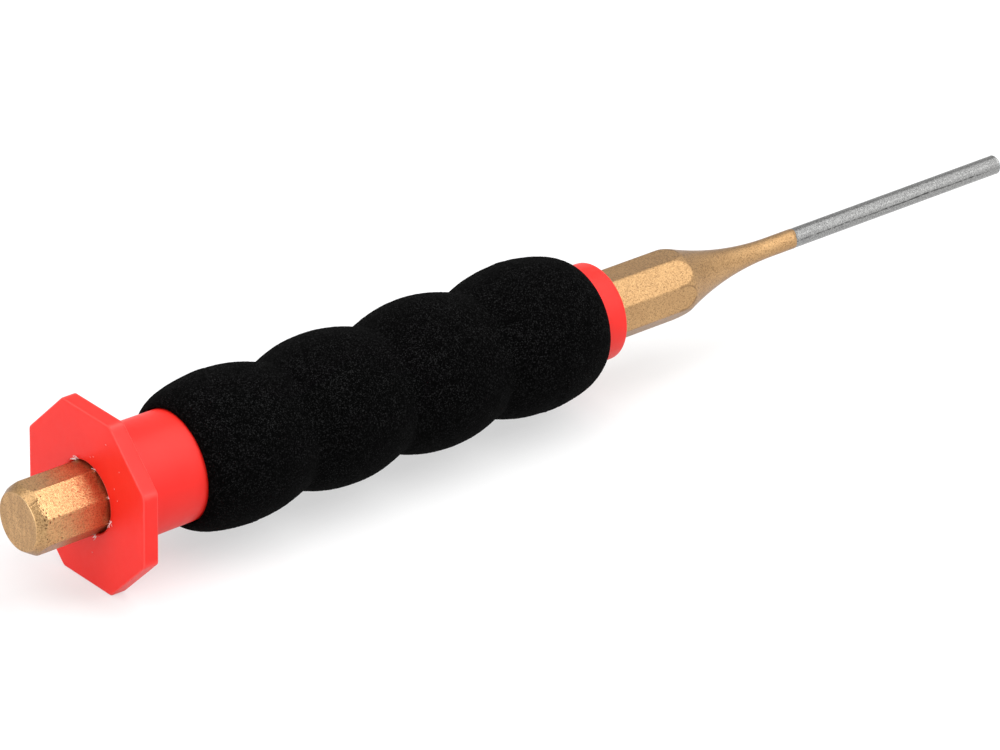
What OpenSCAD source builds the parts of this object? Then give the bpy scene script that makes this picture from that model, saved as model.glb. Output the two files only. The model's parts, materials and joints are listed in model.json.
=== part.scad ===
// Pin punch with a hand guard: a one-piece steel punch, a moulded guard sleeve pushed
// over its octagonal shank, and a foam grip stretched over the sleeve.
// The tool lies along X, striking end at -X and pin at +X, on the lower flat of its guard.

/* [Punch] */
// Width of the octagonal shank across its flats
shank_af = 10; // [8:0.5:12]
// Depth by which the shank's eight corners are broken
corner_break = 0.06; // [0.02:0.01:0.3]
// Length of shank left bare behind the guard, for the hammer
strike_l = 11.5; // [8:0.5:20]
// Length of the chamfer round the striking face, along the axis
strike_chamfer_l = 1.6; // [0.5:0.1:3]
// Width of that chamfer at the corners, across the axis
strike_chamfer_w = 1.05; // [0.5:0.05:1.5]
// Length of shank with its flats in front of the sleeve
front_flats_l = 13.2; // [6:0.1:30]
// Length of the turned blend from the shank to the pin
taper_l = 21; // [16:0.5:32]
// Radius of the shoulder where the blend leaves the shank
shoulder_r = 8; // [4:1:24]
// Diameter of the parallel pin
pin_d = 3; // [2:0.5:6]
// Length of the parallel pin
pin_l = 47; // [30:0.5:80]
// Broken edge round the pin's tip
tip_break = 0.2; // [0.1:0.05:0.5]

/* [Guard sleeve] */
// Width of the octagonal guard across its flats
guard_af = 26.4; // [24:0.1:34]
// Thickness of the guard
guard_t = 2.5; // [1.5:0.1:5]
// Wall of the sleeve at the guard
root_wall = 3; // [2:0.1:4]
// Wall of the sleeve at its front end
nose_wall = 2; // [1.2:0.1:3]
// Fillet between the guard and the sleeve
root_fillet = 0.8; // [0.2:0.1:1.6]
// Broken outer edge at the sleeve's front end
nose_break = 0.4; // [0.1:0.05:0.8]
// Length of sleeve that shows between the guard and the foam
neck_l = 12.2; // [6:0.2:25]
// Length of sleeve that shows in front of the foam
collar_l = 4; // [1:0.1:10]
// Radial clearance of the sleeve over the shank's corners
bore_clear = 0.03; // [0.02:0.01:0.1]
// Lead-in round the mouth of the bore, at the guard
bore_lead = 0.4; // [0.1:0.1:1]

/* [Foam grip] */
// Number of finger bulges
bulges = 4; // [3:1:6]
// Distance from one bulge to the next
bulge_pitch = 17.65; // [14:0.05:22]
// Foam left over the sleeve's wide end in the creases between the bulges
crease_wall = 0.95; // [0.5:0.05:3]
// Height of the bulges above the creases
bulge_rise = 1.95; // [0.8:0.05:4]
// Length from the first bulge's crest to the rear end
rear_end_l = 10; // [7:0.05:14]
// Length from the last bulge's crest to the front end
front_end_l = 10.65; // [7:0.05:14]
// Radial clearance of the foam over the sleeve
foam_clear = 0.2; // [0.15:0.01:0.3]

/* [Hidden] */
$fn = 96;

// Places along the tool, measured from the striking face
guard_back = strike_l;
guard_front = guard_back + guard_t;
foam_back = guard_front + neck_l;
first_crest = foam_back + rear_end_l;
last_crest = first_crest + (bulges - 1) * bulge_pitch;
foam_front = last_crest + front_end_l;
sleeve_front = foam_front + collar_l;
shank_l = sleeve_front + front_flats_l;
pin_start = shank_l + taper_l;
overall_l = pin_start + pin_l;

// Radii that the pieces share
octagon_half_angle = 180 / 8;
corner_r = shank_af / 2 / cos(octagon_half_angle) - corner_break;
strike_r = corner_r - strike_chamfer_w;
pin_r = pin_d / 2;
bore_r = corner_r + bore_clear;
root_r = bore_r + root_wall;
nose_r = bore_r + nose_wall;

// The blend is a convex shoulder and a long hollow, tangent to each other and to both ends
blend_angle = 2 * atan((corner_r - pin_r) / taper_l);
hollow_r = (corner_r - pin_r) / (1 - cos(blend_angle)) - shoulder_r;

// Each bulge is one arc from crease to crease
crest_r = sleeve_r(foam_back) + foam_clear + crease_wall + bulge_rise;
bulge_r = (pow(bulge_pitch / 2, 2) + pow(bulge_rise, 2)) / (2 * bulge_rise);
bulge_half_angle = asin(bulge_pitch / 2 / bulge_r);

shoulder_steps = 6;
hollow_steps = 14;
fillet_steps = 4;
bulge_steps = 12;
end_steps = 10;

// Outside radius of the drafted sleeve at a place along the tool
function sleeve_r(s) = root_r + (nose_r - root_r) * (s - guard_front) / (sleeve_front - guard_front);

// Points on an arc, as radius and place, from angle a0 to angle a1
function arc(centre, r, a0, a1, steps) = [
    for (i = [0 : steps])
        let (a = a0 + (a1 - a0) * i / steps)
        centre + r * [cos(a), sin(a)]
];

// Points on the quarter ellipse that rounds off one end of the foam, from angle a0 to a1
function foam_end(crest_s, end_l, base_r, a0, a1) = [
    for (i = [0 : end_steps])
        let (a = a0 + (a1 - a0) * i / end_steps)
        [base_r + (crest_r - base_r) * cos(a), crest_s + end_l * sin(a)]
];

// Puts a piece that was made along Z, from the striking face up, in its place along X
module lay_down() {
    translate([-overall_l / 2, 0, guard_af / 2])
        rotate([0, 90, 0])
            children();
}

// Octagon with flats facing both ways along X and Y
module octagon(across_flats) {
    rotate(octagon_half_angle)
        circle(d = across_flats / cos(octagon_half_angle), $fn = 8);
}

// The turned outline of the punch, as wide as its broken corners
module punch_outline() {
    shoulder = arc([corner_r - shoulder_r, shank_l], shoulder_r, 0, blend_angle, shoulder_steps);
    hollow = arc([pin_r + hollow_r, pin_start], hollow_r, 180 + blend_angle, 180, hollow_steps);
    polygon(concat(
        [[0, 0], [strike_r, 0], [corner_r, strike_chamfer_l]],
        shoulder,
        [for (i = [1 : hollow_steps]) hollow[i]],
        [[pin_r, overall_l - tip_break], [pin_r - tip_break, overall_l], [0, overall_l]]
    ));
}

module punch() {
    color([0.74, 0.56, 0.34])
        lay_down()
            intersection() {
                linear_extrude(overall_l) octagon(shank_af);
                rotate_extrude() punch_outline();
            }
}

// Half section of the drafted tube, its root buried in the guard
module sleeve_outline() {
    fillet_s = guard_front + root_fillet;
    fillet_r = sleeve_r(fillet_s);
    root = arc([fillet_r + root_fillet, fillet_s], root_fillet, 270, 180, fillet_steps);
    polygon(concat(
        [[0, guard_front - guard_t / 2], [fillet_r + root_fillet, guard_front - guard_t / 2]],
        root,
        [[sleeve_r(sleeve_front - nose_break), sleeve_front - nose_break]],
        [[nose_r - nose_break, sleeve_front], [0, sleeve_front]]
    ));
}

module guard_sleeve() {
    color([0.93, 0.16, 0.12])
        lay_down()
            difference() {
                union() {
                    translate([0, 0, guard_back]) linear_extrude(guard_t) octagon(guard_af);
                    rotate_extrude() sleeve_outline();
                }
                translate([0, 0, guard_back - guard_t])
                    cylinder(r = bore_r, h = sleeve_front - guard_back + 2 * guard_t);
                translate([0, 0, guard_back - bore_lead])
                    cylinder(r1 = bore_r + 2 * bore_lead, r2 = bore_r, h = 2 * bore_lead);
            }
}

// Half section of the foam: rounded ends, bulges between creases, and a bore that
// follows the sleeve's draft
module foam_outline() {
    rear_r = sleeve_r(foam_back) + foam_clear;
    front_r = sleeve_r(foam_front) + foam_clear;
    rear_end = foam_end(first_crest, rear_end_l, rear_r, -90, 0);
    front_end = foam_end(last_crest, front_end_l, front_r, 0, 90);
    between = [
        for (i = [1 : bulges - 1])
            let (crest = first_crest + (i - 1) * bulge_pitch)
            let (rise = arc([crest_r - bulge_r, crest], bulge_r, 0, bulge_half_angle, bulge_steps))
            let (fall = arc([crest_r - bulge_r, crest + bulge_pitch], bulge_r, -bulge_half_angle, 0, bulge_steps))
            each concat([for (k = [1 : bulge_steps]) rise[k]], [for (k = [1 : bulge_steps]) fall[k]])
    ];
    polygon(concat(rear_end, between, [for (k = [1 : end_steps]) front_end[k]]));
}

module foam_grip() {
    color([0.07, 0.07, 0.075])
        lay_down()
            rotate_extrude() foam_outline();
}

punch();
guard_sleeve();
foam_grip();
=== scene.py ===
import json
import math

import bpy
import numpy as np
from mathutils import Matrix, Vector


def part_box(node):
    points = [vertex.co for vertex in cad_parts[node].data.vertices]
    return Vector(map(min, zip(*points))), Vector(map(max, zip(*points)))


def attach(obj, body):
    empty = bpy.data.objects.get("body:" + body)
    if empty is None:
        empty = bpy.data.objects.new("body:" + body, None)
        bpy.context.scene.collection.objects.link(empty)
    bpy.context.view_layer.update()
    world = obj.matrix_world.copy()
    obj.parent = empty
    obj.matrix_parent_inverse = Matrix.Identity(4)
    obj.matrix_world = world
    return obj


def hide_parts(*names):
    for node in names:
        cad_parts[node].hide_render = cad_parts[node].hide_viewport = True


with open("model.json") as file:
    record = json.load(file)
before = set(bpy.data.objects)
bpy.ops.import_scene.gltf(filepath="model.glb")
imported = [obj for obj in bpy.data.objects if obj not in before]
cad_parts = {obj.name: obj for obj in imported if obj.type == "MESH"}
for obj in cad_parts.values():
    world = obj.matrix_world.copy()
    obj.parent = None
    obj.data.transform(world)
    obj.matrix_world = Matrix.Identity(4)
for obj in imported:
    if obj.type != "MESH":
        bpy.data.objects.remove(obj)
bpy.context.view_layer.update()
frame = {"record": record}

# Punch: one length of octagonal tool-steel bar, turned down through a hollow taper to a
# parallel pin and chamfered at the struck end. It is sprayed with a bronze-gold metallic
# lacquer all over, except on the working length of the pin, which is left bright ground.
mm = 0.001
punch_low, punch_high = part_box("punch")
strike_x = punch_low.x
axis_z = (punch_low.z + punch_high.z) / 2
overall_l = (punch_high.x - punch_low.x) / mm
shank_half = (punch_high.z - punch_low.z) / 2 / mm
drive_pin = next(m for m in frame["record"]["mounts"] if m["name"] == "drive_pin")
pin_r = drive_pin["dims"]["r_mm"]
flat_angle = math.pi / 4
half_flat = flat_angle / 2
corner_break = 0.06
corner_r = shank_half / math.cos(half_flat) - corner_break
strike_chamfer_l = 1.6
strike_chamfer_w = 1.05
strike_r = corner_r - strike_chamfer_w
struck_l = 12.0
shank_l = 117.0
pin_start = 138.0
shoulder_r = 8.0
blend_angle = 2 * math.atan((corner_r - pin_r) / (pin_start - shank_l))
hollow_r = (corner_r - pin_r) / (1 - math.cos(blend_angle)) - shoulder_r
blend_s = shank_l + shoulder_r * math.sin(blend_angle)
lacquer_end = 142.5
lacquer_t = 0.025
rim_round = 0.07
tip_round = 0.28
upper_edge_round = 0.5
lower_edge_round = 0.3
struck_edge_round = 0.17
dark_gold = (0.54, 0.314, 0.132)
mid_gold = (0.69, 0.417, 0.186)
pale_gold = (0.79, 0.496, 0.232)
clouded_gold = (0.50, 0.28, 0.12, 1)
rim_wear_highlight_gold = (0.92, 0.68, 0.36, 1)
saw_brown = (0.36, 0.205, 0.09, 1)
pit_brown = (0.2, 0.1, 0.035, 1)
scallop_brown = (0.14, 0.075, 0.03, 1)
bare_brown = (0.11, 0.055, 0.02, 1)
dark_steel = (0.14, 0.14, 0.14)
mid_steel = (0.30, 0.30, 0.296)
pale_steel = (0.46, 0.46, 0.452)
streak_grey = (0.045, 0.045, 0.045, 1)


def octagon_radius(angle, half_width, corner_round):
    """Distance from the axis to an octagon with rounded corners, flats up and down."""
    off_flat = np.abs((angle + half_flat) % flat_angle - half_flat)
    off_corner = half_flat - off_flat
    centre = (half_width - corner_round) / math.cos(half_flat)
    reach = np.maximum(corner_round**2 - (centre * np.sin(off_corner)) ** 2, 0)
    rounded = centre * np.cos(off_corner) + np.sqrt(reach)
    at_corner = half_width * np.tan(off_flat) > centre * math.sin(half_flat)
    return np.where(at_corner, rounded, half_width / np.cos(off_flat))


def octagon_angles(per_flat):
    """Angles round the axis from straight up towards the front, closer together at the corners."""
    u = np.linspace(-1, 1, per_flat, endpoint=False)
    within = half_flat * (0.5 * u + 0.5 * np.sin(math.pi / 2 * u))
    return np.concatenate([within + k * flat_angle for k in range(8)])


def turned_radius(s):
    """The turned outline of the punch at places along it, in mm from the striking face."""
    chamfer = strike_r + (corner_r - strike_r) * s / strike_chamfer_l
    into_shoulder = np.clip(s, shank_l, blend_s) - shank_l
    shoulder = corner_r - shoulder_r + np.sqrt(shoulder_r**2 - into_shoulder**2)
    before_pin = pin_start - np.clip(s, blend_s, pin_start)
    hollow = pin_r + hollow_r - np.sqrt(hollow_r**2 - before_pin**2)
    stages = [s < strike_chamfer_l, s < shank_l, s < blend_s, s < pin_start]
    return np.select(stages, [chamfer, np.full_like(s, corner_r), shoulder, hollow], pin_r)


def eased_min(a, b, ease):
    """The smaller of two radii, with the edge where they meet eased off."""
    near = np.maximum(ease - np.abs(a - b), 0) / ease
    return np.minimum(a, b) - near**2 * ease / 4


def turn_from(angles, centre):
    """How far round angles lie from a centre, the shorter way."""
    return (angles - centre + math.pi) % (2 * math.pi) - math.pi


def peak(offset, width):
    """1 where an offset is nothing, falling away to 0 on both sides of it over a width."""
    return np.exp(-((offset / width) ** 2))


def skin_rings(name, s, r, angles, looped=False):
    """A closed skin through rings of points, given by place along the tool and radius in mm.
    Looped rings join the last to the first; others are closed by a fan at either end."""
    rings, per_ring = r.shape
    x = strike_x + np.broadcast_to(s, r.shape) * mm
    y = -r * np.sin(angles) * mm
    z = axis_z + r * np.cos(angles) * mm
    points = np.stack([x, y, z], axis=-1).reshape(-1, 3)
    index = np.arange(rings * per_ring).reshape(rings, per_ring)
    if looped:
        index = np.vstack([index, index[:1]])
    here, ahead = index[:-1], index[1:]
    quads = np.stack([here, np.roll(here, -1, 1), np.roll(ahead, -1, 1), ahead], axis=-1)
    faces = quads.reshape(-1, 4).tolist()
    if not looped:
        poles = np.array([[x[0].mean(), 0, axis_z], [x[-1].mean(), 0, axis_z]])
        first, last = index[0], index[-1]
        back_pole, front_pole = len(points), len(points) + 1
        faces += [[back_pole, b, a] for a, b in zip(first.tolist(), np.roll(first, -1).tolist())]
        faces += [[front_pole, a, b] for a, b in zip(last.tolist(), np.roll(last, -1).tolist())]
        points = np.vstack([points, poles])
    mesh = bpy.data.meshes.new(name)
    mesh.from_pydata(points.tolist(), [], faces)
    mesh.shade_smooth()
    piece = bpy.data.objects.new(name, mesh)
    bpy.context.scene.collection.objects.link(piece)
    return piece


def write_points(piece, name, values):
    """Keeps one number per point of a piece, for its material to read."""
    padded = np.zeros(len(piece.data.vertices), np.float32)
    padded[: values.size] = values.ravel()
    piece.data.attributes.new(name, "FLOAT", "POINT").data.foreach_set("value", padded)


punch_angles = octagon_angles(32)
from_top = turn_from(punch_angles, 0)
upper_edges = (from_top > -flat_angle) & (from_top < 2 * flat_angle)
edge_rounds = np.where(upper_edges, upper_edge_round, lower_edge_round)
shank_radius = octagon_radius(punch_angles, shank_half, edge_rounds)
face_rings = np.linspace(0.4, strike_r - 0.3, 12)
face_rings = np.append(face_rings, strike_r - np.array([0.22, 0.17, 0.12, rim_round]))
rim_turn = np.radians(np.linspace(8, 56, 6))
# Places of the rings along the bar, closest together where its form changes most.
body_s = np.concatenate([
    np.linspace(0.06, 4.0, 64, endpoint=False),
    np.linspace(4.0, struck_l, 34, endpoint=False),
    np.linspace(struck_l, 102.0, 24, endpoint=False),
    np.linspace(102.0, 115.5, 34, endpoint=False),
    np.linspace(115.5, 122.0, 78, endpoint=False),
    np.linspace(122.0, pin_start, 40, endpoint=False),
    np.linspace(pin_start, lacquer_end, 12),
])
pin_s = np.linspace(lacquer_end + 0.05, overall_l - tip_round, 120)
tip_turn = np.radians(np.linspace(12, 90, 7))
tip_rings = np.linspace(pin_r - tip_round, 0.2, 5)[1:]

ring_s = np.concatenate([
    np.zeros(len(face_rings)),
    rim_round * (1 - np.cos(rim_turn)),
    body_s,
    pin_s,
    overall_l - tip_round * (1 - np.sin(tip_turn)),
    np.full(len(tip_rings), overall_l),
])
face_count = len(face_rings) + len(rim_turn)
body_rows = slice(face_count, face_count + len(body_s))
pin_rows = slice(body_rows.stop, body_rows.stop + len(pin_s))
tip_rows = slice(pin_rows.stop, pin_rows.stop + len(tip_turn))
punch_s = np.repeat(ring_s[:, None], len(punch_angles), axis=1)
punch_r = np.empty_like(punch_s)
punch_r[: len(face_rings)] = face_rings[:, None]
punch_r[len(face_rings) : face_count] = (strike_r - rim_round + rim_round * np.sin(rim_turn))[:, None]
# The bar's flats were ground by hand: towards the struck end the upper front one is cut deeper,
# its lower edge is more worn, and the chamfer was filed further over it.
cut_depth = 0.14
cut_starts = 60
cut_full = 20
filed_l = 3
filed_slope = 0.17
cut_deeper = cut_depth * np.clip((cut_starts - body_s) / (cut_starts - cut_full), 0, 1)[:, None]
off_front = np.clip(punch_angles - flat_angle, -1.2, 1.2)
upper_front = (shank_half - cut_deeper) / np.cos(off_front)[None, :]
worn_edge = np.where(off_front > 0, 0.16, 0.03)
flats = eased_min(np.broadcast_to(shank_radius, upper_front.shape), upper_front, worn_edge)
filed_over = filed_slope * (body_s * (body_s < filed_l))[:, None] * peak(off_front, 0.25)
turned = turned_radius(body_s)[:, None]
punch_r[body_rows] = eased_min(turned - filed_over, flats, 0.05)
punch_r[pin_rows] = pin_r - lacquer_t
punch_r[tip_rows] = (pin_r - tip_round + tip_round * np.cos(tip_turn))[:, None]
punch_r[tip_rows.stop :] = tip_rings[:, None]

# The bar was sheared and chamfered roughly: nicks run along the edges at the struck end. The
# larger ones, most of them where the chamfer meets the two front flats, are listed by degrees round
# from the top, place, width and depth; a row of small ones makes a scratch across the chamfer.
nicks = [
    (15, 2.0, 0.16, 0.05), (30, 2.05, 0.12, 0.05), (43, 1.25, 0.13, 0.05), (52, 1.5, 0.14, 0.05),
    (58, 1.75, 0.12, 0.05), (64, 1.45, 0.16, 0.07), (68, 1.2, 0.2, 0.09), (74, 1.85, 0.14, 0.06),
    (76, 1.25, 0.2, 0.08), (81, 1.1, 0.15, 0.06), (70, 2.5, 0.13, 0.05), (68.5, 3.45, 0.14, 0.06),
    (90, 4.4, 0.12, 0.05), (95, 5.0, 0.09, 0.03), (100.6, 1.3, 0.12, 0.05), (106.5, 1.55, 0.13, 0.05),
    (101.5, 2.2, 0.1, 0.04), (107.5, 3.75, 0.13, 0.05), (109, 3.15, 0.1, 0.04), (87, 0.08, 0.09, 0.03),
    (96, 0.08, 0.09, 0.03),
]
nicks += [(37 - 2.3 * along, 0.1 + 0.9 * along, 0.085, 0.05) for along in np.linspace(0, 1.4, 12)]
# The smallest are drawn at random near the edge where the chamfer meets the flats.
small_nicks = 120
nick_stretch = 1.3
bare_depth = 0.05
nick_draw = np.random.default_rng(11)
for _ in range(small_nicks):
    angle = nick_draw.uniform(0, 360)
    flat_edge = octagon_radius(np.radians([angle]), shank_half, struck_edge_round)[0]
    edge_s = strike_chamfer_l * (flat_edge - strike_r) / (corner_r - strike_r)
    past_edge = 0.9 * nick_draw.standard_normal() ** 2 * nick_draw.choice([0.25, 0.6]) - 0.1
    nicks.append((angle, edge_s + past_edge, nick_draw.uniform(0.05, 0.12), nick_draw.uniform(0.015, 0.05)))
chipped = np.zeros_like(punch_r)
struck_rows = slice(len(face_rings), face_count + np.count_nonzero(body_s < struck_l))
for angle, at_s, wide, deep in nicks:
    round_by = turn_from(punch_angles, math.radians(angle))
    away = ((punch_s[struck_rows] - at_s) / wide) ** 2
    away = away + (shank_half * round_by / wide / nick_stretch) ** 2
    bite = np.exp(-away)
    punch_r[struck_rows] -= deep * bite
    chipped[struck_rows] = np.maximum(chipped[struck_rows], bite * min(1, deep / bare_depth))

# The lacquer stops in an uneven line round the pin, a film's thickness proud of the steel, and
# reaches a little further towards the tip on the upper side.
line_wave = 0.05 * np.sin(3 * punch_angles + 0.6) + 0.03 * np.sin(11 * punch_angles)
line_wave += 0.4 * np.maximum(np.cos(punch_angles + 0.6), 0)
punch_s[body_rows.stop - 1] += line_wave
for ring, share in enumerate((1, 0.75, 0.5, 0.25)):
    punch_s[pin_rows.start + ring] += share * line_wave

punch = skin_rings("punch_body", punch_s, punch_r, punch_angles)
write_points(punch, "chipped", chipped)
end_face = np.zeros_like(punch_r)
end_face[: len(face_rings)] = 1
write_points(punch, "end_face", end_face)
# The rim of the striking face is painted paler, a little all round as wear and most of it on the
# upper front side as a painted highlight where the light catches the edge.
rim_wear_and_highlight = np.zeros_like(punch_r)
rim_highlight_side = 0.1 + 0.9 * peak(turn_from(punch_angles, 0.6016), 0.6)
rim_wear_and_highlight[:face_count] = rim_highlight_side * peak(strike_r - 0.02 - punch_r[:face_count], 0.05)
write_points(punch, "rim_wear_and_highlight", rim_wear_and_highlight)
# The lacquer is thin and dark along the scalloped ends of the flats, most of all in front.
scallop = np.zeros_like(punch_r)
past_shoulder = (body_s > shank_l - 1)[:, None]
towards_front = 0.3 + 0.7 * peak(punch_angles - 1.62, 0.5)
scallop[body_rows] = past_shoulder * towards_front * peak(turned - flats, 0.045)
write_points(punch, "scallop", scallop)
# A thin, wandering dark line runs along the front of the pin.
dark_streak = np.zeros_like(punch_r)
streak_wander = 1.42 + 0.03 * np.sin(pin_s / 3.1) + 0.02 * np.sin(pin_s / 1.3)
streak_fade = np.interp(pin_s, [143, 150, 160, 168, 180, 184], [0.8, 0.8, 0.9, 1.0, 0.85, 0.4])
off_streak = punch_angles[None, :] - streak_wander[:, None]
dark_streak[pin_rows] = streak_fade[:, None] * peak(off_streak, 0.11)
write_points(punch, "dark_streak", dark_streak)


def start_finish(name):
    """A new material: the material, its node tree and its shader."""
    finish = bpy.data.materials.new(name)
    finish.use_nodes = True
    return finish, finish.node_tree, finish.node_tree.nodes["Principled BSDF"]


def set_inputs(tree, node, inputs):
    """Links each input of a node that is given a socket, and sets any other."""
    for key, value in inputs.items():
        if isinstance(value, bpy.types.NodeSocket):
            tree.links.new(value, node.inputs[key])
        else:
            node.inputs[key].default_value = value


def add_node(tree, kind, inputs=None, **settings):
    """Adds a node with its settings and inputs; gives the node."""
    node = tree.nodes.new("ShaderNode" + kind)
    for key, value in settings.items():
        setattr(node, key, value)
    set_inputs(tree, node, inputs or {})
    return node


def noise(tree, place, scale, detail, roughness=0.5):
    """Cloudy noise with so many patches to the metre; gives its value socket."""
    settings = {"Vector": place, "Scale": scale, "Detail": detail, "Roughness": roughness}
    return add_node(tree, "TexNoise", settings).outputs["Fac"]


def cells(tree, place, scale):
    """Random cells, so many to the metre; gives the node, for its colours and distances."""
    return add_node(tree, "TexVoronoi", {"Vector": place, "Scale": scale})


def cell_number(tree, cell, channel):
    """A random number for each cell, from one channel of its colour; gives the value socket."""
    return add_node(tree, "SeparateColor", {"Color": cell.outputs["Color"]}).outputs[channel]


def mark(tree, name):
    """What write_points kept on the piece under a name; gives the value socket."""
    return add_node(tree, "Attribute", attribute_name=name).outputs["Fac"]


def tilted_normal(tree, cell, most):
    """Normals that tip at random from cell to cell, as flakes and grains lie; gives the socket."""
    middle = (0.5, 0.5, 0.5)
    lean = add_node(tree, "VectorMath", {0: cell.outputs["Color"], 1: middle}, operation="SUBTRACT")
    lean = add_node(tree, "VectorMath", {0: lean.outputs[0], "Scale": most}, operation="SCALE")
    facing = add_node(tree, "NewGeometry").outputs["Normal"]
    tilted = add_node(tree, "VectorMath", {0: facing, 1: lean.outputs[0]}, operation="ADD")
    return add_node(tree, "VectorMath", {0: tilted.outputs[0]}, operation="NORMALIZE").outputs[0]


def bump(tree, height, strength, distance, **over):
    """Fine relief, over a Normal where one is given; gives the normal socket."""
    settings = {"Height": height, "Strength": strength, "Distance": distance, **over}
    return add_node(tree, "Bump", settings).outputs["Normal"]


def ramp(tree, factor, *stops):
    """A colour ramp through (place, colour) stops; gives its colour socket."""
    node = add_node(tree, "ValToRGB", {"Fac": factor})
    elements = node.color_ramp.elements
    while len(elements) < len(stops):
        elements.new(0.5)
    for element, (place, colour) in zip(elements, stops):
        element.position = place
        element.color = (*colour, 1)
    return node.outputs["Color"]


def blend_colours(tree, factor, first, second, how="MIX"):
    """Blends two colours by a factor; gives the colour socket."""
    node = add_node(tree, "Mix", {0: factor, 6: first, 7: second}, data_type="RGBA", blend_type=how)
    return node.outputs[2]


def reckon(tree, how, *values):
    """One step of arithmetic on sockets or numbers; gives the value socket."""
    return add_node(tree, "Math", dict(enumerate(values)), operation=how).outputs["Value"]


def remap(tree, value, low, high, to_low, to_high):
    """A value carried from one range to another, held inside it; gives the value socket."""
    limits = {"Value": value, "From Min": low, "From Max": high, "To Min": to_low, "To Max": to_high}
    return add_node(tree, "MapRange", limits).outputs["Result"]


lacquer, tree, shader = start_finish("bronze_gold_lacquer")
place = add_node(tree, "TexCoord").outputs["Object"]
mottle = noise(tree, place, 4200.0, 2.0, 0.6)
gold = ramp(tree, mottle, (0.28, dark_gold), (0.5, mid_gold), (0.74, pale_gold))
cloud = noise(tree, place, 230.0, 3.0)
gold = blend_colours(tree, remap(tree, cloud, 0.35, 0.7, 0.0, 0.3), gold, clouded_gold)
flake_shade = cell_number(tree, cells(tree, place, 6800.0), "Red")
flake_tone = ramp(
    tree, flake_shade, (0.0, (0.48, 0.45, 0.42)), (0.3, (0.88, 0.87, 0.86)), (1.0, (1.0, 1.0, 1.0))
)
gold = blend_colours(tree, 0.85, gold, flake_tone, "MULTIPLY")
# Along the bar: a darker band on the chamfer; painted shade and a painted red reflection of the guard
# on the shank next to it; painted shade darkening the bar towards the pin.
along = add_node(tree, "SeparateXYZ", {"Vector": place}).outputs["X"]
painted_shade_along_bar = ramp(
    tree, remap(tree, along, strike_x, 0.0, 0.0, 1.0),
    (0.0, (1.0, 1.0, 1.0)), (0.003, (0.86, 0.86, 0.86)), (0.012, (0.86, 0.86, 0.86)),
    (0.02, (1.0, 1.0, 1.0)), (0.098, (1.0, 1.0, 1.0)), (0.116, (0.77, 0.63, 0.55)),
    (0.16, (0.94, 0.94, 0.94)), (1.0, (0.88, 0.88, 0.88)),
)
gold = blend_colours(tree, 1.0, gold, painted_shade_along_bar, "MULTIPLY")
# Saw lines that show through on the striking face.
saw_stretch = add_node(tree, "Mapping", {"Vector": place, "Scale": (300.0, 1500.0, 280.0)})
saw_lines = remap(tree, noise(tree, saw_stretch.outputs[0], 1.0, 3.0), 0.42, 0.62, 0.0, 0.42)
saw_here = reckon(tree, "MULTIPLY", mark(tree, "end_face"), saw_lines)
gold = blend_colours(tree, saw_here, gold, saw_brown)
# Scattered pits, and the bare brown steel in the nicks.
pit = cells(tree, place, 2300.0)
pit_spot = remap(tree, pit.outputs["Distance"], 0.16, 0.3, 1.0, 0.0)
pit_chance = remap(tree, cell_number(tree, pit, "Green"), 0.86, 0.94, 0.0, 0.6)
gold = blend_colours(tree, reckon(tree, "MULTIPLY", pit_spot, pit_chance), gold, pit_brown)
ragged_chip = reckon(tree, "MULTIPLY", mark(tree, "chipped"), noise(tree, place, 5200.0, 3.0))
chip_here = remap(tree, ragged_chip, 0.18, 0.42, 0.0, 0.88)
gold = blend_colours(tree, chip_here, gold, bare_brown)
# Thin lacquer on the scallops, and the paler rim of wear and painted highlight, both in patches.
patchy = noise(tree, place, 420.0, 2.0)
scallop_here = reckon(tree, "MULTIPLY", mark(tree, "scallop"), remap(tree, patchy, 0.38, 0.52, 0.0, 0.8))
gold = blend_colours(tree, scallop_here, gold, scallop_brown)
rim_wear_highlight_here = reckon(tree, "MULTIPLY", mark(tree, "rim_wear_and_highlight"), remap(tree, patchy, 0.3, 0.55, 0.35, 0.85))
gold = blend_colours(tree, rim_wear_highlight_here, gold, rim_wear_highlight_gold)
smooth_rough = remap(tree, mottle, 0.3, 0.7, 0.37, 0.44)
flake_lie = tilted_normal(tree, cells(tree, place, 7600.0), 0.15)
set_inputs(tree, shader, {
    "Base Color": gold,
    "Metallic": 0.95,
    "Roughness": reckon(tree, "ADD", smooth_rough, reckon(tree, "MULTIPLY", chip_here, 0.3)),
    "Specular Tint": (0.62, 0.68, 0.8, 1),
    "Coat Weight": 0.25,
    "Coat Roughness": 0.3,
    "Normal": bump(tree, mottle, 0.12, 0.00003, Normal=flake_lie),
})

bright_steel, tree, shader = start_finish("bright_ground_steel")
place = add_node(tree, "TexCoord").outputs["Object"]
round_stretch = add_node(tree, "Mapping", {"Vector": place, "Scale": (6500.0, 4200.0, 4200.0)})
grind = noise(tree, round_stretch.outputs[0], 1.0, 3.0, 0.65)
steel = ramp(tree, grind, (0.30, dark_steel), (0.5, mid_steel), (0.68, pale_steel))
broken_streak = reckon(tree, "MULTIPLY", mark(tree, "dark_streak"), noise(tree, place, 1500.0, 2.0))
streak_here = remap(tree, broken_streak, 0.25, 0.5, 0.0, 0.85)
steel = blend_colours(tree, streak_here, steel, streak_grey)
ground_rough = remap(tree, grind, 0.3, 0.7, 0.21, 0.3)
grain_lie = tilted_normal(tree, cells(tree, place, 7000.0), 0.13)
set_inputs(tree, shader, {
    "Base Color": steel,
    "Metallic": 1.0,
    "Roughness": reckon(tree, "ADD", ground_rough, reckon(tree, "MULTIPLY", streak_here, 0.3)),
    "Anisotropic": 0.6,
    "Anisotropic Rotation": 0.25,
    "Tangent": add_node(tree, "Tangent", direction_type="RADIAL", axis="X").outputs["Tangent"],
    "Normal": bump(tree, grind, 0.5, 0.00004, Normal=grain_lie),
})

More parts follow.
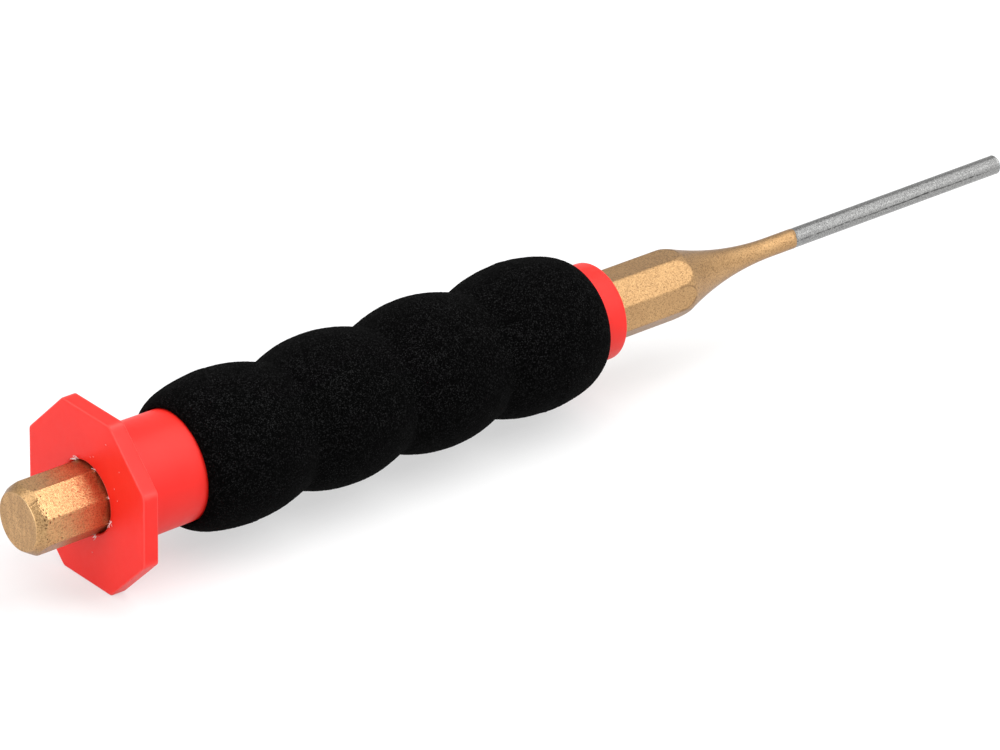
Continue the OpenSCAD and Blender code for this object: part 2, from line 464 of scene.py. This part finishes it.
punch.data.materials.append(lacquer)
punch.data.materials.append(bright_steel)
finish_of_ring = np.zeros(len(ring_s) - 1, np.int32)
finish_of_ring[pin_rows.start :] = 1
finish_of_face = np.concatenate([
    np.repeat(finish_of_ring, len(punch_angles)),
    np.zeros(len(punch_angles), np.int32),
    np.ones(len(punch_angles), np.int32),
])
punch.data.polygons.foreach_set("material_index", finish_of_face)
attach(punch, "punch")
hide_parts("punch")

# Guard sleeve: an octagonal hand guard and a drafted tube, moulded in one from a red,
# slightly translucent plastic and pushed on to the shank, whose corners bite into its bore.
sleeve_low, sleeve_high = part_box("guard_sleeve")
guard_half = (sleeve_high.z - sleeve_low.z) / 2 / mm
guard_back = (sleeve_low.x - strike_x) / mm
sleeve_front = (sleeve_high.x - strike_x) / mm
guard_t = 2.5
guard_front = guard_back + guard_t
guard_corner_round = 0.75
bore_clear = 0.03
bore_r = corner_r + bore_clear
root_wall = 3.0
root_r = bore_r + root_wall
nose_wall = 2.0
nose_r = bore_r + nose_wall
root_fillet = 0.8
rear_edge = 0.25
front_edge = 0.25
nose_edge = 0.4
bore_edge = 0.12
bore_lead = 0.4
deep_red = (0.89, 0.0125, 0.0065)
light_red = (0.94, 0.0175, 0.0095)
edge_red = (0.94, 0.062, 0.052, 1)
torn_pink = (0.95, 0.55, 0.5, 1)


def sleeve_radius(s):
    """Outside radius of the drafted tube at a place along the tool."""
    return root_r + (nose_r - root_r) * (s - guard_front) / (sleeve_front - guard_front)


sleeve_angles = octagon_angles(26)
round_ring = np.ones_like(sleeve_angles)


def guard_ring(inset):
    """The guard's octagon, drawn in by an inset."""
    return octagon_radius(sleeve_angles, guard_half - inset, max(guard_corner_round - inset, 0.15))


sleeve_s = []
sleeve_r = []
sleeve_edge = []
# Near each corner of the guard's rim the edge is painted paler, as a highlight.
from_corner = half_flat - np.abs((sleeve_angles + half_flat) % flat_angle - half_flat)
corner_highlight = peak(guard_half * from_corner, 0.4)


def add_ring(s, r, edge=0.0):
    """One ring of the skin; its last number says how far the ring lies on a rounded edge or corner,
    which is painted paler there as a highlight, and goes past 1 on the torn lip of the bore."""
    sleeve_s.append(s)
    sleeve_r.append(r * round_ring)
    sleeve_edge.append(edge * round_ring)


# The rings run from the mouth of the bore out over the guard's rear face, round its rim and in to the
# root fillet, then along the tube to its front end and back through the bore.
torn_ring = 18
torn_side = peak(sleeve_angles - 0.85, 0.65)
for degrees in (90, 72, 54, 36, 18, 0):
    turn = math.radians(degrees)
    mouth_r = bore_r + bore_lead * (1 - math.sin(turn))
    lip = 0.6 * math.sin(2 * turn) + (1.6 * torn_side if degrees == torn_ring else 0)
    add_ring(guard_back + bore_lead * (1 - math.cos(turn)), mouth_r, lip)
for outward in np.linspace(0.06, 1, 12):
    add_ring(guard_back, (1 - outward) * (bore_r + bore_lead) + outward * guard_ring(rear_edge))
for turn in np.radians(np.linspace(0, 90, 8)[1:]):
    rim = guard_ring(rear_edge * (1 - math.sin(turn)))
    edge = np.maximum(math.sin(2 * turn), corner_highlight)
    add_ring(guard_back + rear_edge * (1 - math.cos(turn)), rim, edge)
for s in np.linspace(guard_back + rear_edge, guard_front - front_edge, 6)[1:]:
    add_ring(s, guard_ring(0), corner_highlight)
for turn in np.radians(np.linspace(90, 0, 7)[1:]):
    rim = guard_ring(front_edge * (1 - math.sin(turn)))
    edge = np.maximum(math.sin(2 * turn), corner_highlight)
    add_ring(guard_front - front_edge * (1 - math.cos(turn)), rim, edge)
fillet_r = sleeve_radius(guard_front + root_fillet) + root_fillet
for inward in np.linspace(0, 1, 9)[1:]:
    add_ring(guard_front, (1 - inward) * guard_ring(front_edge) + inward * fillet_r)
for turn in np.radians(np.linspace(0, 90, 8)[1:]):
    add_ring(guard_front + root_fillet * (1 - math.cos(turn)), fillet_r - root_fillet * math.sin(turn))
for s in np.linspace(guard_front + root_fillet, sleeve_front - nose_edge, 60)[1:]:
    add_ring(s, sleeve_radius(s))
nose_base = sleeve_radius(sleeve_front - nose_edge) - nose_edge
for turn in np.radians(np.linspace(0, 90, 8)[1:]):
    add_ring(sleeve_front - nose_edge * (1 - math.sin(turn)), nose_base + nose_edge * math.cos(turn))
for inward in np.linspace(0, 1, 5)[1:]:
    add_ring(sleeve_front, (1 - inward) * nose_base + inward * (bore_r + bore_edge))
for turn in np.radians([30, 60, 90]):
    add_ring(sleeve_front - bore_edge * (1 - math.cos(turn)), bore_r + bore_edge * (1 - math.sin(turn)))
for s in np.linspace(sleeve_front - bore_edge, guard_back + bore_lead, 14)[1:-1]:
    add_ring(s, bore_r)
guard_sleeve = skin_rings(
    "guard_and_sleeve", np.array(sleeve_s)[:, None], np.array(sleeve_r), sleeve_angles, looped=True
)
write_points(guard_sleeve, "edge", np.array(sleeve_edge))

red_plastic, tree, shader = start_finish("moulded_red_plastic")
place = add_node(tree, "TexCoord").outputs["Object"]
flow = noise(tree, place, 130.0, 3.0)
red = ramp(tree, flow, (0.3, deep_red), (0.7, light_red))
# Rounded edges, corners and the mouth of the bore are painted paler red as highlights; past 1 the mark is
# the torn lip.
edge_glow = mark(tree, "edge")
red = blend_colours(tree, edge_glow, red, edge_red)
skin_grain = noise(tree, place, 900.0, 2.0)
torn_lip = reckon(tree, "MULTIPLY", remap(tree, edge_glow, 1.0, 2.0, 0.0, 1.0), skin_grain)
red = blend_colours(tree, torn_lip, red, torn_pink)
set_inputs(tree, shader, {
    "Base Color": red,
    "Roughness": remap(tree, skin_grain, 0.3, 0.7, 0.40, 0.46),
    "Specular IOR Level": 0.39,
    "Subsurface Weight": 0.35,
    "Subsurface Radius": (1.0, 0.12, 0.08),
    "Subsurface Scale": 0.0016,
    "Normal": bump(tree, skin_grain, 0.06, 0.00002),
})
guard_sleeve.data.materials.append(red_plastic)
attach(guard_sleeve, "guard_sleeve")
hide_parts("guard_sleeve")

# Burrs: slivers of the guard's own plastic, whitened by strain, that the eight corners of the
# shank raised round the mouth of the bore when the sleeve was pressed on.
foot_low_r = 5.42
foot_high_r = 5.7
foot_proud = 0.01
upper_far_corner = 7
strained_pink = (0.93, 0.50, 0.49)
strained_white = (0.95, 0.86, 0.86)
crumb_red = (0.94, 0.03, 0.02, 1)
burr_draw = np.random.default_rng(5)
burr_points = []
burr_faces = []
burr_white = []


def add_sliver(start, heading, length, wide, curl, white=1.0):
    """A thin tapered sliver of plastic, closed all round, that curls away from the guard."""
    steps = 5
    side = np.cross(heading, [-1.0, 0, 0])
    side /= np.linalg.norm(side)
    away = np.array([-1.0, 0, 0])
    for step in range(steps):
        t = step / (steps - 1)
        middle = start + length * (t * heading + curl * t * t * away)
        half = wide * (1 - 0.75 * t) / 2
        thick = 0.35 * half + 0.00001
        first = len(burr_points)
        for across, up in ((-1, -1), (1, -1), (1, 1), (-1, 1)):
            burr_points.append(middle + across * half * side + up * thick * away)
            burr_white.append(white)
        if step:
            back = first - 4
            for k in range(4):
                n = (k + 1) % 4
                burr_faces.append([back + k, back + n, first + n, first + k])
        else:
            burr_faces.append([first + 3, first + 2, first + 1, first])
    burr_faces.append([first, first + 1, first + 2, first + 3])


def mouth_place(angle, r):
    """A point on the guard's rear face or on the rounded mouth of its bore."""
    inset = np.clip(1 - (r - bore_r) / bore_lead, 0, 1)
    s = guard_back - foot_proud + bore_lead * (1 - math.sqrt(1 - inset**2))
    return np.array([strike_x + s * mm, -r * mm * math.sin(angle), axis_z + r * mm * math.cos(angle)])


for corner in range(8):
    corner_angle = half_flat + corner * flat_angle
    for _ in range(8 if corner == upper_far_corner else 4):
        angle = corner_angle + burr_draw.uniform(-0.06, 0.06)
        foot = mouth_place(angle, burr_draw.uniform(foot_low_r, foot_high_r))
        turn = angle + burr_draw.uniform(-1.7, 1.7)
        heading = np.array([-0.35, -math.sin(turn), math.cos(turn)])
        heading /= np.linalg.norm(heading)
        long = burr_draw.uniform(0.25, 0.5) * (1.5 if corner == upper_far_corner else 1)
        wide = burr_draw.uniform(0.12, 0.2) * (2.2 if corner == upper_far_corner else 1)
        add_sliver(foot, heading, long * mm, wide * mm, burr_draw.uniform(0.3, 0.9))
# The corner below the front raised the longest, which cross: by degrees, radius, heading and length.
crossed = ((108, 5.45, 99, 1.05), (102, 5.95, 205, 0.9), (106, 5.5, 62, 0.5), (111, 5.6, 150, 0.45))
for angle, r, turn, long in crossed:
    heading = np.array([-0.15, -math.sin(math.radians(turn)), math.cos(math.radians(turn))])
    foot = mouth_place(math.radians(angle), r)
    add_sliver(foot, heading, long * mm, wide=0.22 * mm, curl=0.2, white=0.8)
# Crumbs that broke off and cling to the guard's rear face, by degrees and radius.
crumbs = ((9, 6.9), (15, 7.3), (24.5, 11.2), (47, 10.6), (57.5, 7.8), (71, 7.6), (170, 8.2), (250, 7.4))
for angle, r in crumbs:
    turn = burr_draw.uniform(0, 6.3)
    heading = np.array([0, -math.sin(turn), math.cos(turn)])
    foot = mouth_place(math.radians(angle), r)
    add_sliver(foot, heading, 0.22 * mm, wide=0.18 * mm, curl=0.1, white=0.3)
burr_mesh = bpy.data.meshes.new("bore_burrs")
burr_mesh.from_pydata([p.tolist() for p in burr_points], [], burr_faces)
burrs = bpy.data.objects.new("bore_burrs", burr_mesh)
bpy.context.scene.collection.objects.link(burrs)
write_points(burrs, "whitened", np.array(burr_white))

whitened, tree, shader = start_finish("strain_whitened_plastic")
place = add_node(tree, "TexCoord").outputs["Object"]
strain = noise(tree, place, 3500.0, 2.0)
pale = ramp(tree, strain, (0.35, strained_pink), (0.6, strained_white))
pale = blend_colours(tree, mark(tree, "whitened"), crumb_red, pale)
set_inputs(tree, shader, {
    "Base Color": pale,
    "Roughness": remap(tree, strain, 0.3, 0.7, 0.3, 0.55),
})
burrs.data.materials.append(whitened)
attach(burrs, "guard_sleeve")

# Foam grip: a tube of black closed-cell foam rubber with four finger bulges between creases,
# ground to shape with a velvety cut skin and stretched over the sleeve, which it hugs at both ends.
foam_low, foam_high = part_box("foam_grip")
foam_back = (foam_low.x - strike_x) / mm
foam_front = (foam_high.x - strike_x) / mm
crest_r = (foam_high.z - foam_low.z) / 2 / mm
bulges = 4
bulge_rise = 1.95
bulge_pitch = 17.65
rear_end_l = 10.0
first_crest = foam_back + rear_end_l
last_crest = first_crest + (bulges - 1) * bulge_pitch
bulge_r = ((bulge_pitch / 2) ** 2 + bulge_rise**2) / (2 * bulge_rise)
foam_clear = 0.18
crease_ease = 0.22
cell_depth = 0.022
cell_height = 0.03
lump_height = 0.03
lump_spacing = 12
relief_fade_l = 1.5
bore_inset = 0.15
dusky_black = (0.001, 0.001, 0.001, 1)


def foam_radius(s):
    """Outside radius of the foam: round bulges that meet in creases, and rounded-off ends."""
    off_crest = np.abs((s - first_crest + bulge_pitch / 2) % bulge_pitch - bulge_pitch / 2)
    bulge = crest_r - bulge_r + np.sqrt(bulge_r**2 - off_crest**2)
    crease_r = crest_r - bulge_rise
    bulge = crease_r + np.sqrt((bulge - crease_r) ** 2 + crease_ease**2) - crease_ease * 0.5
    rear_r = sleeve_radius(foam_back) + foam_clear
    front_r = sleeve_radius(foam_front) + foam_clear
    to_rear = np.clip((first_crest - s) / (first_crest - foam_back), 0, 1)
    to_front = np.clip((s - last_crest) / (foam_front - last_crest), 0, 1)
    rear_end = rear_r + (crest_r - rear_r) * np.sqrt(1 - to_rear**2)
    front_end = front_r + (crest_r - front_r) * np.sqrt(1 - to_front**2)
    return np.where(s < first_crest, rear_end, np.where(s > last_crest, front_end, bulge))


foam_angles = np.linspace(0, 2 * math.pi, 264, endpoint=False)
rear_turn = np.radians(np.linspace(0, 90, 44, endpoint=False))
front_turn = np.radians(np.linspace(0, 90, 44, endpoint=False)[::-1])
foam_s = np.concatenate([
    first_crest - (first_crest - foam_back) * np.cos(rear_turn),
    np.linspace(first_crest, last_crest, 196),
    last_crest + (foam_front - last_crest) * np.cos(front_turn),
])
foam_outer = np.repeat(foam_radius(foam_s)[:, None], len(foam_angles), axis=1)
foam_draw = np.random.default_rng(23)
cell_relief = foam_draw.normal(0, cell_depth, foam_outer.shape)
# Soft lumps, drawn at points set apart both ways and run smoothly between.
lump_counts = (len(foam_s) // lump_spacing + 2, len(foam_angles) // lump_spacing)
lumps = foam_draw.normal(0, 1, lump_counts)
lump_s = np.linspace(0, len(lumps) - 1.001, len(foam_s))
lump_row = lump_s.astype(int)
lump_part = (lump_s - lump_row)[:, None]
lump_rings = lumps[lump_row] * (1 - lump_part) + lumps[lump_row + 1] * lump_part
lump_a = np.linspace(0, lumps.shape[1], len(foam_angles), endpoint=False)
lump_col = lump_a.astype(int)
lump_side = lump_a - lump_col
next_col = (lump_col + 1) % lumps.shape[1]
lump_field = lump_rings[:, lump_col] * (1 - lump_side) + lump_rings[:, next_col] * lump_side
fade = np.clip(np.minimum(foam_s - foam_back, foam_front - foam_s) / relief_fade_l, 0, 1)[:, None]
foam_outer = foam_outer + fade * (np.minimum(cell_relief, cell_height) + lump_height * lump_field)
foam_inner_s = np.linspace(foam_front - bore_inset, foam_back + bore_inset, 40)
foam_inner = np.repeat((sleeve_radius(foam_inner_s) + foam_clear)[:, None], len(foam_angles), axis=1)
foam_grip = skin_rings(
    "foam_grip_skin", np.concatenate([foam_s, foam_inner_s])[:, None],
    np.concatenate([foam_outer, foam_inner]), foam_angles, looped=True,
)

black_foam, tree, shader = start_finish("black_cellular_foam")
place = add_node(tree, "TexCoord").outputs["Object"]
foam_cell = cells(tree, place, 7800.0)
cell_shade = cell_number(tree, foam_cell, "Red")
black = ramp(
    tree, cell_shade,
    (0.0, (0.0002, 0.0002, 0.0002)), (0.5, (0.0008, 0.0008, 0.0008)), (0.8, (0.0042, 0.0042, 0.0043)),
    (1.0, (0.0195, 0.0195, 0.0198)),
)
darker = remap(tree, noise(tree, place, 300.0, 3.0), 0.3, 0.7, 0.5, 0.0)
black = blend_colours(tree, darker, black, dusky_black)
set_inputs(tree, shader, {
    "Base Color": black,
    "Roughness": remap(tree, cell_shade, 0.0, 1.0, 0.85, 1.0),
    "Specular IOR Level": 0.02,
    "Sheen Weight": 0.004,
    "Sheen Roughness": 0.4,
    "Normal": bump(tree, foam_cell.outputs["Distance"], 0.6, 0.0001),
})
foam_grip.data.materials.append(black_foam)
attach(foam_grip, "foam_grip")
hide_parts("foam_grip")

# Studio: a plain white sweep under the tool, which also glows a little on the tool as painted bounce
# light, a bright soft box high in front, dimmer ones on the right, low in front and overhead, a fill from
# the left and an even grey room, through a long lens.
floor_half = 3.0
floor_z = -0.0001
floor_mesh = bpy.data.meshes.new("floor")
floor_mesh.from_pydata(
    [(-floor_half, -floor_half, floor_z), (floor_half, -floor_half, floor_z),
     (floor_half, floor_half, floor_z), (-floor_half, floor_half, floor_z)],
    [], [(0, 1, 2, 3)],
)
floor = bpy.data.objects.new("floor", floor_mesh)
bpy.context.scene.collection.objects.link(floor)
white_floor, tree, shader = start_finish("white_floor")
set_inputs(tree, shader, {"Base Color": (0.42, 0.42, 0.42, 1), "Roughness": 0.9, "Specular IOR Level": 0.0})
path = add_node(tree, "LightPath")
seen = reckon(tree, "MAXIMUM", path.outputs["Is Camera Ray"], path.outputs["Is Transmission Ray"])
# The floor glows with strength 0.2 for every ray, lighting the tool from below as painted bounce light;
# camera and transmission rays get 0.36 more and glossy rays 0.26 more, so that it shows white.
floor_glow_strength = reckon(tree, "MULTIPLY_ADD", seen, 0.36, 0.2)
floor_glow_strength = reckon(tree, "MULTIPLY_ADD", path.outputs["Is Glossy Ray"], 0.26, floor_glow_strength)
floor_glow = add_node(tree, "Emission", {"Color": (1, 1, 1, 1), "Strength": floor_glow_strength})
both = add_node(tree, "AddShader", {0: shader.outputs[0], 1: floor_glow.outputs[0]})
tree.links.new(both.outputs[0], tree.nodes["Material Output"].inputs["Surface"])
floor.data.materials.append(white_floor)


def soft_light(name, towards, along, distance, width, length, level):
    """A soft box that faces the tool, its length laid along a direction; level is its brightness."""
    lamp = bpy.data.lights.new(name, "AREA")
    lamp.shape = "RECTANGLE"
    lamp.size = width
    lamp.size_y = length
    lamp.energy = level * math.pi * width * length
    holder = bpy.data.objects.new(name, lamp)
    back = Vector(towards).normalized()
    side = Vector(along).cross(back).normalized()
    turn = Matrix((side, back.cross(side), back)).transposed().to_4x4()
    holder.matrix_world = Matrix.Translation(back * distance) @ turn
    bpy.context.scene.collection.objects.link(holder)


# Each soft box: where it stands, which way its length lies, distance, width, length and brightness.
soft_light("high_soft_box", (0.225, -0.333, 0.915), (0, 0.94, 0.342), 1.2, 0.38, 1.39, 4.9)
soft_light("right_soft_box", (0.682, -0.22, 0.697), (0, 0.954, 0.301), 1.2, 0.64, 1.25, 0.8)
soft_light("low_soft_box", (0.588, -0.739, 0.329), (0, 0.407, 0.914), 1.2, 0.6, 0.8, 1.1)
soft_light("overhead_soft_box", (-0.42, 0.12, 0.9), (0, 1, 0), 1.0, 0.6, 0.8, 1.6)
soft_light("left_fill", (-0.93, -0.2, 0.35), (0, 0, 1), 1.3, 1.1, 0.9, 1.85)

world = bpy.data.worlds.new("even_grey_room")
world.use_nodes = True
room = world.node_tree.nodes["Background"]
set_inputs(world.node_tree, room, {"Color": (1, 1, 1, 1), "Strength": 0.64})
bpy.context.scene.world = world

camera_data = bpy.data.cameras.new("long_lens")
camera_data.lens = 217.14
camera_data.sensor_width = 36.0
camera_data.clip_start = 0.05
camera_data.clip_end = 20.0
camera = bpy.data.objects.new("camera", camera_data)
lens_place = (-0.51072, -0.58717, 0.41273)
lens_right = Vector((0.76577, -0.64277, 0.02122))
lens_up = Vector((0.28342, 0.36691, 0.88603))
lens_back = lens_right.cross(lens_up)
lens_turn = Matrix((lens_right, lens_up, lens_back)).transposed().to_4x4()
camera.matrix_world = Matrix.Translation(lens_place) @ lens_turn
bpy.context.scene.collection.objects.link(camera)
bpy.context.scene.camera = camera
bpy.context.scene.view_settings.view_transform = "Standard"
